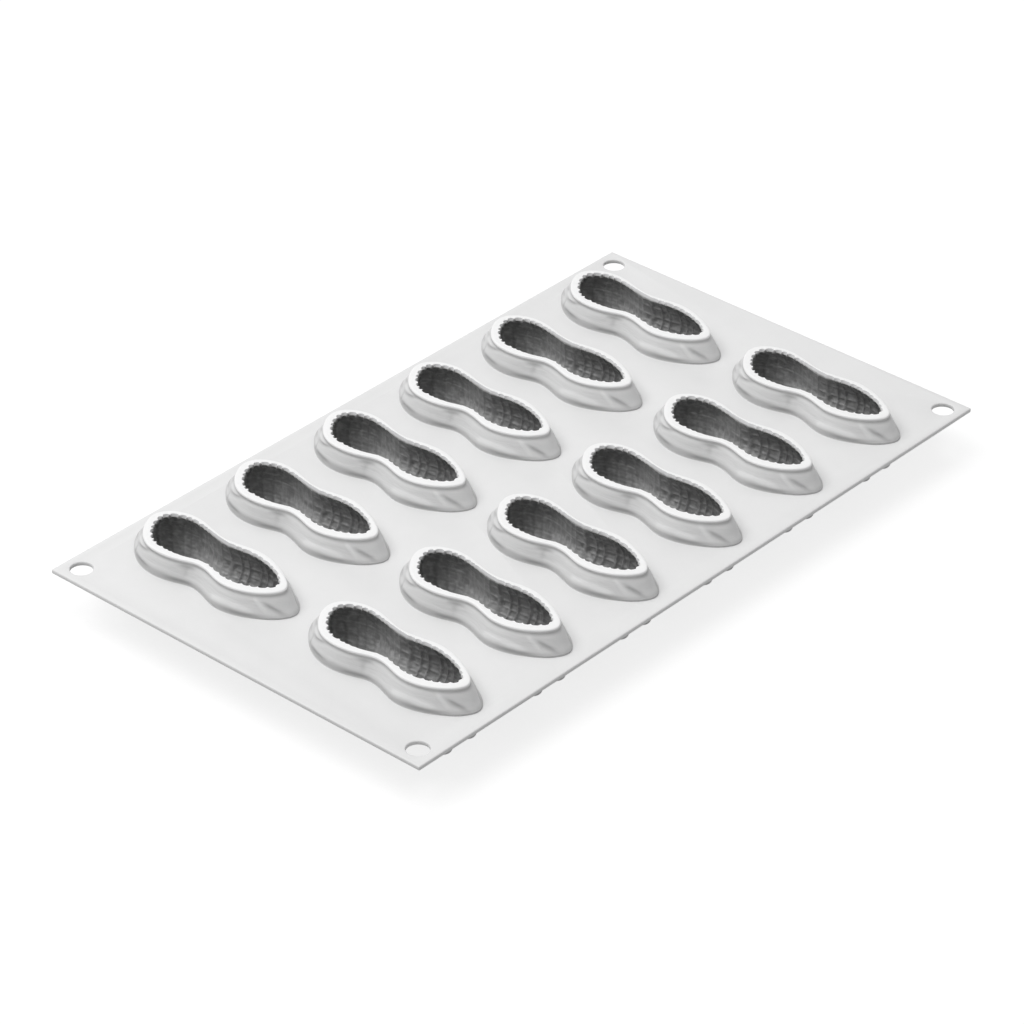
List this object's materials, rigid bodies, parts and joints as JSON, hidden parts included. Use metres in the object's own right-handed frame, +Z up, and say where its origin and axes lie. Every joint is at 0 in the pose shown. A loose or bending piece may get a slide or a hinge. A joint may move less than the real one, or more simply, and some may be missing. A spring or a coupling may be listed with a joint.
{
  "type": "silicone baking mould",
  "caption": "Flexible rectangular sheet mould with rows of peanut-shaped open cups, raised rims, rounded bowls on stub feet, and a hole near each corner.",
  "frame": {"origin": "centre of the footprint, on the surface that the feet stand on", "axes": "+Z up through the cup mouths, X along the long side of the sheet, Y along the short side and along each cup"},
  "size_m": [0.3, 0.175, 0.027],
  "materials": {
    "silicone_sheet": "satin",
    "silicone_cup": "satin",
    "silicone_feet": "satin"
  },
  "bodies": {
    "root": {"sheet": "silicone_sheet", "cup_01": "silicone_cup", "cup_02": "silicone_cup", "cup_03": "silicone_cup", "cup_04": "silicone_cup", "cup_05": "silicone_cup", "cup_06": "silicone_cup", "cup_07": "silicone_cup", "cup_08": "silicone_cup", "cup_09": "silicone_cup", "cup_10": "silicone_cup", "cup_11": "silicone_cup", "cup_12": "silicone_cup", "feet_01": "silicone_feet", "feet_02": "silicone_feet", "feet_03": "silicone_feet", "feet_04": "silicone_feet", "feet_05": "silicone_feet", "feet_06": "silicone_feet", "feet_07": "silicone_feet", "feet_08": "silicone_feet", "feet_09": "silicone_feet", "feet_10": "silicone_feet", "feet_11": "silicone_feet", "feet_12": "silicone_feet"}
  },
  "joints": []
}
